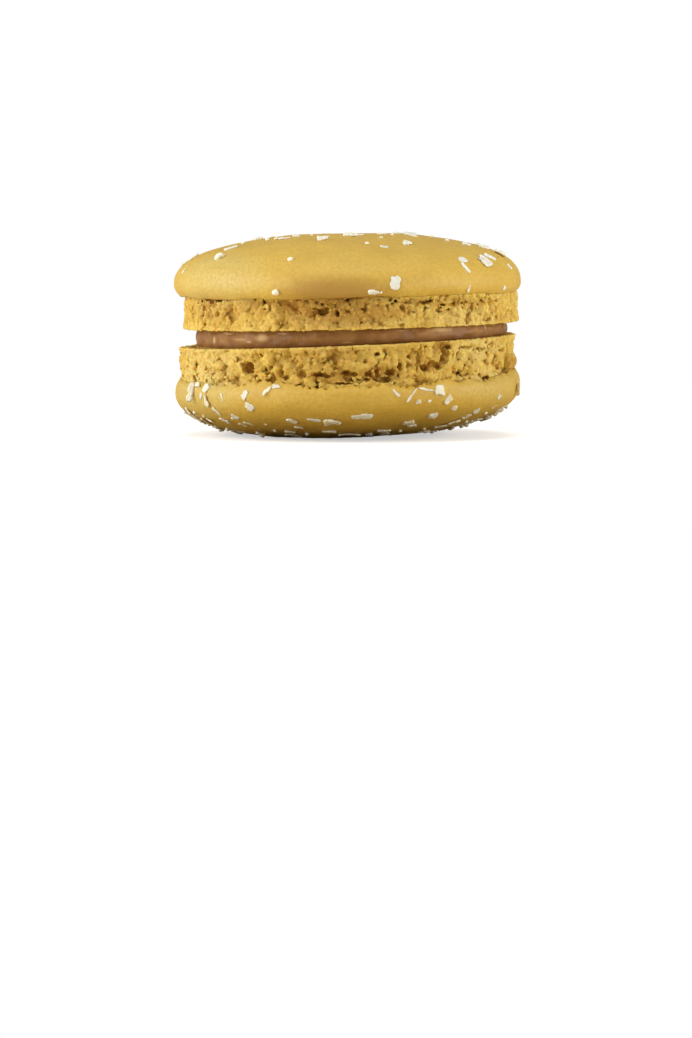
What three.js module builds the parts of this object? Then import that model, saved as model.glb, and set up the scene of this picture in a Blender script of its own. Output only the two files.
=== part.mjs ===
// One sandwich macaron, in millimetres, +Z up, standing on the small flat of its lower cap.
// Two baked almond meringue shells meet flat side to flat side with a disc of ganache between
// them. Each shell is one solid: a smooth domed cap, a tucked rim, a crease, and below it the
// ruffled foot that rose in the oven. The front of the macaron faces -Y.
import * as THREE from "three";

// Driving dimensions.
const CAP_RADIUS = 23.0;
const CAP_TUCK = 1.4; // from the crease to the widest line of the cap
const CAP_RISE = 6.5; // from the widest line to the crown of the full dome
const CAP_SQUARENESS = 2.25; // exponent of the dome's superellipse: 2 is an ellipse
const CREASE_RADIUS = 21.8;
const CREASE_BEND = THREE.MathUtils.degToRad(55); // how far the rim still leans over at the crease
const FOOT_RADIUS = 22.15;
const UPPER_FOOT_HEIGHT = 4.2;
const LOWER_FOOT_HEIGHT = 4.95;
const FILLING_RADIUS = 20.7;
const FILLING_THICKNESS = 2.1;
const FILLING_BULGE = 0.25; // how far the filling's edge swells past its rims
const SETTLED = 0.25; // how much of the lower crown is pressed flat, so that it stands
const CONTACT_GAP = 0.05; // between the filling and each shell
const FILLING_FLOOR_SLOPE = Math.tan(THREE.MathUtils.degToRad(2.4)); // rises towards +X
const FILLING_ROOF_SLOPE = Math.tan(THREE.MathUtils.degToRad(1.4));
const LOWER_CAP_SLOPE = Math.tan(THREE.MathUtils.degToRad(1.5)); // each cap lies a little lower at -X
const UPPER_CAP_SLOPE = Math.tan(THREE.MathUtils.degToRad(0.7));

// How finely the surfaces are divided.
const AROUND = 120;
const FOOT_STEPS = 6;
const TUCK_STEPS = 3;
const DOME_STEPS = 8;
const FILLING_STEPS = 4;

// Heights above the table, on the axis.
const LOWER_CREASE = CAP_RISE - SETTLED + CAP_TUCK;
const FILLING_FLOOR = LOWER_CREASE + LOWER_FOOT_HEIGHT;
const FILLING_ROOF = FILLING_FLOOR + FILLING_THICKNESS;
const UPPER_CREASE = FILLING_ROOF + UPPER_FOOT_HEIGHT;

// A wave goes round the axis a whole number of times, and its crests lean over by climb radians
// from the bottom of a wall to its top. A wave that goes round once shifts a ring sideways. The
// cap's waves all have even numbers, which keeps its middle on the axis.
const wave = (times, size, phase, climb = 0) => ({ times, size, phase, climb });

const CAP_WAVES = [wave(2, 0.16, 0.4), wave(4, 0.07, 2.1), wave(6, 0.04, 4.4)];
const UPPER_CREASE_WAVES = [wave(1, 0.33, -0.4), wave(2, 0.15, 0.5), wave(9, 0.07, 0.7), wave(17, 0.05, 5.1)];
const LOWER_CREASE_WAVES = [
  wave(1, 0.5, -0.35),
  wave(2, 0.3, -1.57),
  wave(3, 0.12, 1.2),
  wave(7, 0.12, 3.0),
  wave(11, 0.1, 0.7),
  wave(23, 0.08, 2.3),
];
const FOOT_WAVES = [
  wave(4, 0.12, 0.9, 0.6),
  wave(9, 0.1, 2.6, -1.4),
  wave(17, 0.11, 4.0, 2.6),
  wave(23, 0.12, 1.9, -3.4),
  wave(31, 0.12, 1.1, 4.4),
  wave(39, 0.1, 3.7, -4.0),
];
const FILLING_WAVES = [wave(1, 0.5, 0), wave(3, 0.12, 0.5), wave(7, 0.08, 2.2), wave(13, 0.07, 4.9, 0.8)];

// Pockets are torn into the foot where large bubbles broke. Angle and width are radians round
// the axis, and the place and height are shares of the foot, from its flat side to the crease.
const pocket = (angle, width, place, height, depth) => ({ angle, width, place, height, depth });

const UPPER_POCKETS = [
  pocket(-0.15, 0.05, 0.6, 0.22, 0.9),
  pocket(1.9, 0.06, 0.7, 0.2, 0.7),
  pocket(3.5, 0.07, 0.5, 0.2, 0.8),
];
const LOWER_POCKETS = [
  pocket(0.64, 0.05, 0.3, 0.5, 0.9),
  pocket(-0.64, 0.05, 0.7, 0.2, 0.8),
  pocket(2.4, 0.06, 0.6, 0.25, 0.8),
  pocket(4.2, 0.05, 0.7, 0.2, 0.7),
];

function waveHeight(waves, angle, share = 0) {
  return waves.reduce((sum, w) => sum + w.size * Math.sin(w.times * angle + w.phase + w.climb * share), 0);
}

function pocketDepth(pockets, angle, share) {
  return pockets.reduce((deepest, p) => {
    const across = Math.atan2(Math.sin(angle - p.angle), Math.cos(angle - p.angle)) / p.width;
    const along = (share - p.place) / p.height;
    return Math.max(deepest, p.depth * Math.exp(-across * across - along * along));
  }, 0);
}

// The profile of a shell as rows from the middle of its flat side out, up the foot, and over the
// cap. Each row is a function of the angle round the axis, which gives a radius and a height.
// Height 0 is the level of the crease. The slopes and the waves are those of the macaron as it
// stands, so for a shell that will be turned over its angles and its heights are mirrored.
function shellRows(shell) {
  const { footHeight, footShift, baseSlope, capSlope, pressed, creaseWaves, pockets, turnedOver } = shell;
  const facing = (angle) => (turnedOver ? Math.PI - angle : angle);
  const up = turnedOver ? -1 : 1;
  const baseHeight = (radius, angle) => up * baseSlope * radius * Math.sin(angle) - footHeight;
  const creaseHeight = (angle) => up * waveHeight(creaseWaves, facing(angle));
  const capRadius = (angle) => CAP_RADIUS + waveHeight(CAP_WAVES, facing(angle));
  const lean = (radius, angle) => up * capSlope * radius * Math.sin(angle);
  const rows = [() => ({ radius: 0, height: -footHeight })];

  // The foot: level with the flat side at share 0, under the crease at share 1.
  for (let i = 0; i <= FOOT_STEPS; i++) {
    const share = i / FOOT_STEPS;
    const calm = 1 - 0.5 * share;
    const pinch = Math.pow(share, 4) * (FOOT_RADIUS - CREASE_RADIUS);
    rows.push((angle) => {
      const ruffle = waveHeight(FOOT_WAVES, facing(angle), share) * calm;
      const shift = footShift * Math.sin(angle);
      const dent = pocketDepth(pockets, facing(angle), share);
      const radius = FOOT_RADIUS + shift + ruffle - pinch - dent;
      return { radius, height: (1 - share) * baseHeight(radius, angle) + share * creaseHeight(angle) };
    });
  }

  // The tuck: the last part of an ellipse's quarter, from the crease out to the widest line.
  for (let i = 1; i <= TUCK_STEPS; i++) {
    const bend = CREASE_BEND + (i / TUCK_STEPS) * (Math.PI / 2 - CREASE_BEND);
    const low = Math.cos(bend) / Math.cos(CREASE_BEND);
    const spread = (Math.sin(bend) - Math.sin(CREASE_BEND)) / (1 - Math.sin(CREASE_BEND));
    rows.push((angle) => {
      const radius = CREASE_RADIUS + (capRadius(angle) - CREASE_RADIUS) * spread;
      const rim = CAP_TUCK + lean(radius, angle);
      return { radius, height: rim * (1 - low) + creaseHeight(angle) * low };
    });
  }

  // The dome: a superellipse up to the crown, no higher than the flat where the cap is pressed.
  const power = 2 / CAP_SQUARENESS;
  const flat = pressed > 0 ? CAP_TUCK + CAP_RISE - pressed : Infinity;
  for (let i = 1; i <= DOME_STEPS; i++) {
    const bend = (Math.PI / 2) * (1 - Math.pow(1 - i / DOME_STEPS, 1.3));
    const spread = i === DOME_STEPS ? 0 : Math.pow(Math.cos(bend), power);
    rows.push((angle) => {
      const radius = capRadius(angle) * spread;
      const full = CAP_TUCK + CAP_RISE * Math.pow(Math.sin(bend), power) + lean(radius, angle);
      return { radius, height: Math.min(full, flat) };
    });
  }
  return rows;
}

// The filling's rows: its floor and roof follow the flat sides of the shells, and its edge
// swells a little between them.
function fillingRows() {
  const rise = (slope, radius, angle) => slope * radius * Math.sin(angle);
  const floor = (radius, angle) => FILLING_FLOOR + CONTACT_GAP + rise(FILLING_FLOOR_SLOPE, radius, angle);
  const roof = (radius, angle) => FILLING_ROOF - CONTACT_GAP + rise(FILLING_ROOF_SLOPE, radius, angle);
  const rows = [() => ({ radius: 0, height: floor(0, 0) })];
  for (let i = 0; i <= FILLING_STEPS; i++) {
    const share = i / FILLING_STEPS;
    rows.push((angle) => {
      const swell = FILLING_BULGE * Math.sin(Math.PI * share);
      const radius = FILLING_RADIUS - FILLING_BULGE + swell + waveHeight(FILLING_WAVES, angle, share);
      return { radius, height: (1 - share) * floor(radius, angle) + share * roof(radius, angle) };
    });
  }
  rows.push(() => ({ radius: 0, height: roof(0, 0) }));
  return rows;
}

// Turns rows into a closed surface. The lathe gives the net of faces, and each row's function
// then puts its ring of vertices in place. Angle 0 is the front, and angles run towards +X.
function turned(rows) {
  const profile = rows.map((row) => new THREE.Vector2(row(0).radius, row(0).height));
  const geometry = new THREE.LatheGeometry(profile, AROUND).rotateX(Math.PI / 2);
  const position = geometry.getAttribute("position");
  for (let i = 0; i < position.count; i++) {
    const angle = ((Math.floor(i / rows.length) % AROUND) / AROUND) * 2 * Math.PI;
    const { radius, height } = rows[i % rows.length](angle);
    position.setXYZ(i, radius * Math.sin(angle), -radius * Math.cos(angle), height);
  }
  geometry.computeVertexNormals();
  return geometry;
}

const bakedShell = new THREE.MeshStandardMaterial({ color: 0xd3a848, roughness: 0.62, metalness: 0 });
const ganache = new THREE.MeshStandardMaterial({ color: 0x7d5230, roughness: 0.35, metalness: 0 });

function namedMesh(name, geometry, material) {
  const mesh = new THREE.Mesh(geometry, material);
  mesh.name = name;
  return mesh;
}

const upperShell = namedMesh(
  "upper_shell",
  turned(
    shellRows({
      footHeight: UPPER_FOOT_HEIGHT,
      footShift: 0.25,
      baseSlope: FILLING_ROOF_SLOPE,
      capSlope: UPPER_CAP_SLOPE,
      pressed: 0,
      creaseWaves: UPPER_CREASE_WAVES,
      pockets: UPPER_POCKETS,
      turnedOver: false,
    }),
  ),
  bakedShell,
);
upperShell.position.z = UPPER_CREASE;

// The lower shell is baked the same way and then turned over about the X axis.
const lowerShell = namedMesh(
  "lower_shell",
  turned(
    shellRows({
      footHeight: LOWER_FOOT_HEIGHT,
      footShift: -0.25,
      baseSlope: FILLING_FLOOR_SLOPE,
      capSlope: LOWER_CAP_SLOPE,
      pressed: SETTLED,
      creaseWaves: LOWER_CREASE_WAVES,
      pockets: LOWER_POCKETS,
      turnedOver: true,
    }),
  ),
  bakedShell.clone(),
);
lowerShell.rotation.x = Math.PI;
lowerShell.position.z = LOWER_CREASE;

const filling = namedMesh("filling", turned(fillingRows()), ganache);

const macaron = new THREE.Group();
macaron.add(lowerShell, filling, upperShell);

export default macaron;
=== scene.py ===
import math
import random
from dataclasses import dataclass

import bmesh
import bpy
from mathutils import Matrix, Vector, noise
from mathutils.bvhtree import BVHTree


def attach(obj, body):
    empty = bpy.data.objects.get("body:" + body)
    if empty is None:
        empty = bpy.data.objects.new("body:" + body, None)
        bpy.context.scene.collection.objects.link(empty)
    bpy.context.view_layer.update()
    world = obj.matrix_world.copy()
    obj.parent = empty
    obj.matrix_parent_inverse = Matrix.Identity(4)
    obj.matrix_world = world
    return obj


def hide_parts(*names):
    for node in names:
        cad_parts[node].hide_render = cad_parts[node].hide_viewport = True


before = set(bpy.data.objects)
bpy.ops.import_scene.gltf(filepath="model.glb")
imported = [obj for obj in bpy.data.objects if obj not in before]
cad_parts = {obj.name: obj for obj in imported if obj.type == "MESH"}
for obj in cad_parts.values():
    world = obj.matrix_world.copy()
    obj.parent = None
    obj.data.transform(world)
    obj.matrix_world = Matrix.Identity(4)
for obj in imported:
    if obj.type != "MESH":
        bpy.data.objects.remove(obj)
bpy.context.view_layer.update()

# A sandwich macaron stands on its lower cap and is seen from the front, from -Y. Shapes are
# worked out in millimetres and turned into metres when a piece is finished.
MM = 0.001

# Driving dimensions of the macaron, the same as in the frame.
CAP_RADIUS = 23.0
CAP_TUCK = 1.4
CAP_RISE = 6.5
CAP_SQUARENESS = 2.25
CREASE_RADIUS = 21.8
CREASE_BEND = math.radians(55)
FOOT_RADIUS = 22.15
FOOT_SHIFT = 0.25
UPPER_FOOT_HEIGHT = 4.2
LOWER_FOOT_HEIGHT = 4.95
FILLING_RADIUS = 20.7
FILLING_SHIFT = 0.5
FILLING_THICKNESS = 2.1
SETTLED = 0.25
FLOOR_SLOPE = math.tan(math.radians(2.4))
ROOF_SLOPE = math.tan(math.radians(1.4))
LOWER_CAP_SLOPE = math.tan(math.radians(1.5))
UPPER_CAP_SLOPE = math.tan(math.radians(0.7))

# Heights on the axis.
LOWER_CREASE = CAP_RISE - SETTLED + CAP_TUCK
FILLING_FLOOR = LOWER_CREASE + LOWER_FOOT_HEIGHT
FILLING_ROOF = FILLING_FLOOR + FILLING_THICKNESS
UPPER_CREASE = FILLING_ROOF + UPPER_FOOT_HEIGHT

# Waves round the axis: how many times, how high, and the phase.
CAP_WAVES = ((2, 0.16, 0.4), (4, 0.07, 2.1), (6, 0.04, 4.4))
UPPER_CREASE_WAVES = ((1, 0.33, -0.4), (2, 0.15, 0.5), (9, 0.07, 0.7), (17, 0.05, 5.1))
LOWER_CREASE_WAVES = (
    (1, 0.5, -0.35), (2, 0.3, -1.57), (3, 0.12, 1.2), (7, 0.12, 3.0), (11, 0.1, 0.7), (23, 0.08, 2.3),
)

# Inside a shell: the core that the foot's ring stands round, and the groove that it stands in,
# behind the thin edge of the cap's skin.
CORE_RADIUS = 20.2
GROOVE_DEPTH = 0.6
SKIN_THICKNESS = 0.25
# The skin's edge hardly overhangs the foot: it stands further out than the frame's crease.
EDGE_RADIUS = 22.2

# The camera, from the photograph's perspective: its size and focal length in pixels, the row of
# the horizon, and the column and row of the macaron's middle.
PHOTO_WIDTH = 692
PHOTO_HEIGHT = 1038
FOCAL_PIXELS = 5670
HORIZON_ROW = 144
AXIS_COLUMN = 348
MIDDLE_ROW = 335
CAMERA_DISTANCE = 754.0
CAMERA_HEIGHT = 38.65
SENSOR = 36.0

# Holes that show in the front of the feet: column and row in the photograph, then half width,
# half height and depth in millimetres.
UPPER_PITS = (
    (322, 312.5, 0.75, 0.42, 2.0), (326, 310, 0.40, 0.30, 1.6), (314, 309, 0.55, 0.20, 1.2),
    (337, 314, 0.34, 0.40, 1.5), (298, 306, 2.20, 0.90, 0.4), (293, 302.5, 0.50, 0.18, 0.8),
    (305, 316, 0.14, 0.14, 0.5), (253, 303.6, 0.32, 0.25, 0.7), (267, 301, 0.40, 0.15, 0.6),
    (213.6, 305, 0.25, 0.25, 0.7), (216.5, 314, 0.16, 0.22, 0.6), (206, 307, 0.20, 0.25, 0.7),
    (196.7, 305, 0.22, 0.25, 0.7), (190, 305, 0.22, 0.22, 0.7), (350.5, 304, 0.32, 0.20, 0.8),
    (388, 306, 0.25, 0.22, 0.7), (393, 304, 0.22, 0.20, 0.7), (403, 308, 0.34, 0.45, 0.7),
    (408.3, 302.7, 0.55, 0.20, 0.9), (414, 312, 0.20, 0.15, 0.5), (425, 302.5, 0.55, 0.20, 1.0),
    (431, 301, 0.40, 0.20, 1.0), (443.5, 304.8, 0.38, 0.20, 0.9), (456, 303.5, 0.40, 0.13, 0.8),
    (464, 302.6, 0.40, 0.13, 0.8), (473, 302.5, 0.45, 0.15, 0.9), (483.7, 300.8, 0.45, 0.17, 0.9),
    (497, 300.5, 0.40, 0.16, 0.8), (492.5, 310, 0.16, 0.14, 0.4),
)
LOWER_PITS = (
    (247, 368, 0.80, 0.72, 1.6), (242, 364.5, 0.30, 0.25, 0.8), (261, 355.7, 0.22, 0.34, 0.7),
    (251, 350, 0.14, 0.14, 0.5), (269, 368, 0.32, 0.28, 0.9), (280.3, 372.6, 0.36, 0.45, 1.1),
    (284, 377.7, 0.45, 0.30, 1.1), (265.6, 373.3, 0.30, 0.20, 0.9), (227, 380.5, 0.30, 0.20, 0.9),
    (195, 375, 0.30, 0.32, 0.9), (205, 369, 0.22, 0.20, 0.7), (294, 362.3, 0.50, 0.60, 0.6),
    (301, 374, 0.60, 0.55, 1.0), (323, 363, 0.40, 0.26, 0.8), (318, 375.2, 0.80, 0.32, 1.4),
    (327, 376.5, 0.50, 0.25, 1.4), (346, 373.3, 0.70, 0.36, 1.5), (354, 374.5, 0.60, 0.25, 1.4),
    (343, 384, 1.50, 0.14, 1.2), (366, 361.3, 0.38, 0.28, 0.7), (377.6, 354, 0.36, 0.28, 1.0),
    (369, 374.5, 0.50, 0.36, 1.3), (366.6, 379.8, 0.50, 0.22, 1.3), (391.5, 373, 0.75, 0.46, 1.5),
    (388.6, 380, 0.70, 0.32, 1.4), (400.3, 366.4, 0.28, 0.50, 1.1), (409.8, 357, 0.30, 0.24, 1.0),
    (426.6, 368, 0.60, 0.48, 1.4), (433, 364, 0.50, 0.40, 1.2), (421, 381, 0.26, 0.20, 0.8),
    (443.5, 341.5, 0.30, 0.55, 0.8), (446, 347, 0.42, 0.55, 1.1), (447, 353, 0.46, 0.55, 1.2),
    (445, 359.5, 0.52, 0.60, 1.3), (440, 366, 0.60, 0.50, 1.3), (468, 347.5, 1.40, 0.18, 0.9),
    (482, 349, 1.30, 0.17, 0.9), (469, 375, 0.22, 0.22, 0.8), (461, 371, 0.25, 0.20, 0.8),
    (500.5, 366, 0.40, 0.55, 0.9), (503, 350, 0.70, 0.24, 0.8),
)
# Lumps that stand out of the feet: column, row and radius.
LOWER_KNOBS = ((508, 360.5, 1.15),)
# Where the lower skin reaches further over the foot: degrees from the front, half width round the
# edge and rise in millimetres.
LOWER_REACHES = ((-31, 9.0, 0.85), (12, 2.5, 0.25), (34.6, 2.0, 0.35), (75, 12.0, 0.5))
# Brown stains, and painted shade under the upper cap's rim, along the upper crease and over the
# middle of the feet: column and row in the photograph, half width and half height in millimetres,
# and how strong.
STAINS_AND_PAINTED_SHADE = (
    (336, 292, 10.0, 3.0, 0.8), (290, 306, 2.6, 1.4, 0.8), (325, 307, 4.5, 1.5, 0.75),
    (372, 307, 3.2, 1.3, 0.7), (408, 309, 1.8, 1.2, 0.6), (285, 362, 2.2, 2.0, 0.45),
    (330, 377, 5.0, 1.1, 0.7), (382, 374, 4.5, 1.4, 0.75), (431, 366, 1.6, 1.4, 0.7),
    (508, 360, 1.5, 1.2, 0.7), (222, 373, 5.0, 1.0, 0.3), (335, 309, 13.0, 3.4, 0.72),
    (335, 362, 9.0, 3.0, 0.3), (249, 306, 3.5, 1.5, 0.5), (412, 362, 2.0, 1.5, 0.4),
    (440, 348, 1.4, 2.2, 0.5), (440, 302, 14.0, 0.9, 0.45), (208, 308, 7.0, 3.0, 0.3),
)
# Painted light, in the same way: a whiter painted sheen on the left of the caps, brighter foam on the
# left and the right of the feet, and painted highlights along the feet's edges beside the ganache.
PAINTED_LIGHT_PATCHES = (
    (212, 270, 14.0, 7.0, 1.0), (200, 388, 13.0, 5.5, 1.0), (205, 352, 11.0, 3.6, 0.6),
    (490, 384, 9.0, 3.4, 0.6), (480, 350, 8.0, 3.0, 0.6), (470, 317, 9.0, 2.0, 0.5),
    (350, 322, 12.0, 0.9, 0.3), (330, 347, 12.0, 1.0, 0.3),
)


@dataclass
class Shell:
    """One baked shell as the macaron stands. Its heights are those on the axis, and side is +1
    where its crown points up and -1 where it points down."""

    node: str
    side: int
    flat: float
    flat_slope: float
    crease: float
    crease_waves: tuple
    reaches: tuple
    lean: float
    foot_shift: float
    pinch: float
    cave_limit: float
    ragged: float
    pits: tuple
    knobs: tuple
    seed: float


UPPER = Shell(
    node="upper_shell", side=1, flat=FILLING_ROOF, flat_slope=ROOF_SLOPE, crease=UPPER_CREASE,
    crease_waves=UPPER_CREASE_WAVES, reaches=(), lean=UPPER_CAP_SLOPE, foot_shift=0.37, pinch=0.15,
    cave_limit=0.14, ragged=0.2, pits=UPPER_PITS, knobs=(), seed=11.0,
)
LOWER = Shell(
    node="lower_shell", side=-1, flat=FILLING_FLOOR, flat_slope=FLOOR_SLOPE, crease=LOWER_CREASE,
    crease_waves=LOWER_CREASE_WAVES, reaches=LOWER_REACHES, lean=LOWER_CAP_SLOPE, foot_shift=-0.12,
    pinch=0.3, cave_limit=0.08, ragged=0.9, pits=LOWER_PITS, knobs=LOWER_KNOBS, seed=37.0,
)


# Camera

def camera_pose():
    """The camera's place in millimetres and its turn."""
    pitch = math.atan2(PHOTO_HEIGHT / 2 - HORIZON_ROW, FOCAL_PIXELS)
    aside = (PHOTO_WIDTH / 2 - AXIS_COLUMN) * CAMERA_DISTANCE / FOCAL_PIXELS
    place = Vector((aside, -CAMERA_DISTANCE, CAMERA_HEIGHT))
    return place, Matrix.Rotation(math.pi / 2 - pitch, 3, "X")


def sight_line(column, row):
    """Where the camera is and which way it looks through a pixel of the photograph."""
    place, turn = camera_pose()
    through = Vector((column - PHOTO_WIDTH / 2, PHOTO_HEIGHT / 2 - row, -FOCAL_PIXELS))
    return place, (turn @ through).normalized()


def on_wall(column, row, radius):
    """The point of an upright round wall that a pixel of the photograph shows."""
    place, way = sight_line(column, row)
    a = way.x ** 2 + way.y ** 2
    b = place.x * way.x + place.y * way.y
    c = place.x ** 2 + place.y ** 2 - radius ** 2
    return place + way * ((-b - math.sqrt(max(b * b - a * c, 0.0))) / a)


def link(obj):
    bpy.context.scene.collection.objects.link(obj)
    return obj


def add_camera():
    place, turn = camera_pose()
    data = bpy.data.cameras.new("camera")
    data.sensor_fit = "VERTICAL"
    data.sensor_height = SENSOR
    data.lens = SENSOR * FOCAL_PIXELS / PHOTO_HEIGHT
    data.clip_start = 0.01
    data.clip_end = 10.0
    camera = link(bpy.data.objects.new("camera", data))
    camera.matrix_world = Matrix.Translation(place * MM) @ turn.to_4x4()
    bpy.context.scene.camera = camera


# Small sums

def angle_of(point):
    """The angle round the axis: 0 at the front, growing towards +X."""
    return math.atan2(point.x, -point.y)


def round_point(angle, radius):
    return Vector((math.sin(angle), -math.cos(angle), 0)) * radius


def waves(angle, rows):
    return sum(size * math.sin(times * angle + phase) for times, size, phase in rows)


def smooth_step(value, start, end):
    share = min(max((value - start) / (end - start), 0.0), 1.0)
    return share * share * (3 - 2 * share)


def crease_rise(angle, shell):
    """How far a shell's crease stands above its height on the axis."""
    rise = waves(angle, shell.crease_waves)
    for degrees, wide, height in shell.reaches:
        away = abs(angle - math.radians(degrees)) * CREASE_RADIUS
        rise += height * smooth_step(away, wide, 0.0)
    return rise


# Fields: numbers and points that nodes work out, written with ordinary arithmetic

class Field:
    def __init__(self, tree, socket):
        self.tree = tree
        self.socket = socket

    def node(self, kind, *values):
        """A new node whose first sockets take this field and the values."""
        made = self.tree.nodes.new(kind)
        for slot, value in zip(made.inputs, (self, *values)):
            plug(self.tree, slot, value)
        return made

    def math(self, operation, *others):
        made = self.node("ShaderNodeMath", *others)
        made.operation = operation
        return Field(self.tree, made.outputs[0])

    def __add__(self, other):
        return self.math("ADD", other)

    def __sub__(self, other):
        return self.math("SUBTRACT", other)

    def __mul__(self, other):
        return self.math("MULTIPLY", other)

    def __truediv__(self, other):
        return self.math("DIVIDE", other)

    def __neg__(self):
        return self.math("MULTIPLY", -1.0)

    def least(self, other):
        return self.math("MINIMUM", other)

    def most(self, other):
        return self.math("MAXIMUM", other)

    def ramp(self, start, end, low=0.0, high=1.0):
        """Low at start, high at end, and smooth between."""
        made = self.tree.nodes.new("ShaderNodeMapRange")
        made.interpolation_type = "SMOOTHSTEP"
        for label, value in zip(("Value", "From Min", "From Max", "To Min", "To Max"), (self, start, end, low, high)):
            plug(self.tree, made.inputs[label], value)
        return Field(self.tree, made.outputs["Result"])

    def vector(self, operation, *others):
        made = self.node("ShaderNodeVectorMath", *others)
        made.operation = operation
        return Field(self.tree, made.outputs[0])

    def times(self, factor):
        made = self.tree.nodes.new("ShaderNodeVectorMath")
        made.operation = "SCALE"
        plug(self.tree, made.inputs[0], self)
        plug(self.tree, made.inputs["Scale"], factor)
        return Field(self.tree, made.outputs[0])

    def length(self):
        made = self.node("ShaderNodeVectorMath")
        made.operation = "LENGTH"
        return Field(self.tree, made.outputs["Value"])

    def parts(self):
        return [Field(self.tree, socket) for socket in self.node("ShaderNodeSeparateXYZ").outputs]

    def turned_back(self, angle):
        made = self.tree.nodes.new("ShaderNodeVectorRotate")
        made.rotation_type = "Z_AXIS"
        plug(self.tree, made.inputs["Vector"], self)
        made.inputs["Angle"].default_value = -angle
        return Field(self.tree, made.outputs[0])

    def noise(self, size, detail):
        made = self.tree.nodes.new("ShaderNodeTexNoise")
        plug(self.tree, made.inputs["Vector"], self)
        made.inputs["Scale"].default_value = 1 / size
        made.inputs["Detail"].default_value = detail
        return made

    def cloud(self, size, detail=1.0):
        """Smooth noise from about -0.5 to 0.5, with clouds of that size."""
        return Field(self.tree, self.noise(size, detail).outputs["Fac"]) - 0.5

    def stirred(self, size, reach, detail=1.0):
        """A point moved about at random, smoothly, by about reach."""
        colour = Field(self.tree, self.noise(size, detail).outputs["Color"])
        return self.vector("ADD", colour.vector("SUBTRACT", (0.5, 0.5, 0.5)).times(2 * reach))

    def cells(self, size):
        """The distance to the nearest of many scattered points, and two numbers drawn for it."""
        made = self.tree.nodes.new("ShaderNodeTexVoronoi")
        plug(self.tree, made.inputs["Vector"], self)
        made.inputs["Scale"].default_value = 1 / size
        first, second, _ = Field(self.tree, made.outputs["Color"]).parts()
        return Field(self.tree, made.outputs["Distance"]) * size, first, second


def plug(tree, slot, value):
    """Puts a field or a plain value into a socket."""
    if isinstance(value, Field):
        tree.links.new(value.socket, slot)
    else:
        slot.default_value = value


def combine(tree, x, y, z):
    node = tree.nodes.new("ShaderNodeCombineXYZ")
    for slot, value in zip(node.inputs, (x, y, z)):
        plug(tree, slot, value)
    return Field(tree, node.outputs[0])


# Feet: rings of torn, baked foam

# The foam is worked out on a straight strip of fine cells, which is then bent round the axis.
# Along the strip is the way round, and across it are the depth and the height.
CELL = 0.13
STEPS_ROUND = round(2 * math.pi * FOOT_RADIUS / CELL)
STEP = 2 * math.pi * FOOT_RADIUS / STEPS_ROUND
OVERLAP_STEPS = 4
PROUD = 1.1
RING_DEPTH = FOOT_RADIUS - CORE_RADIUS + 0.3
LOOSE_POINTS = 4000.0
MOST_TRIANGLES = 195_000
FLARE = 0.2
PIT_SPREAD = 1.25
PATCH_DEPTH = 6.0
STAIN_AND_SHADE_DENT = 0.6

# Puffed lumps: size across, how far they swell, and how deep the pores between them are.
LUMPS = ((2.1, 0.75, 0.4), (0.95, 0.65, 0.3), (0.5, 0.32, 0.0))

# Bubbles: cell size, their share everywhere and more near the crease, radii and reach inwards.
BUBBLES = (
    (0.60, 0.12, 0.24, 0.08, 0.16, 0.4),
    (1.25, 0.06, 0.38, 0.17, 0.40, 1.0),
    (2.40, 0.00, 0.42, 0.36, 0.80, 1.6),
)


def covered(point, patches, start):
    """How far a place is covered by patches, from 0 to 1. The place is moved on by start."""
    cover = point.length() * 0.0
    for column, row, wide, high, strength in patches:
        centre = on_wall(column, row, FOOT_RADIUS)
        inside = point.vector("SUBTRACT", centre + start).turned_back(angle_of(centre))
        away = inside.vector("DIVIDE", (wide, PATCH_DEPTH, high)).length()
        cover = cover.most(away.ramp(1.0, 0.25, 0.0, strength))
    return cover


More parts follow.
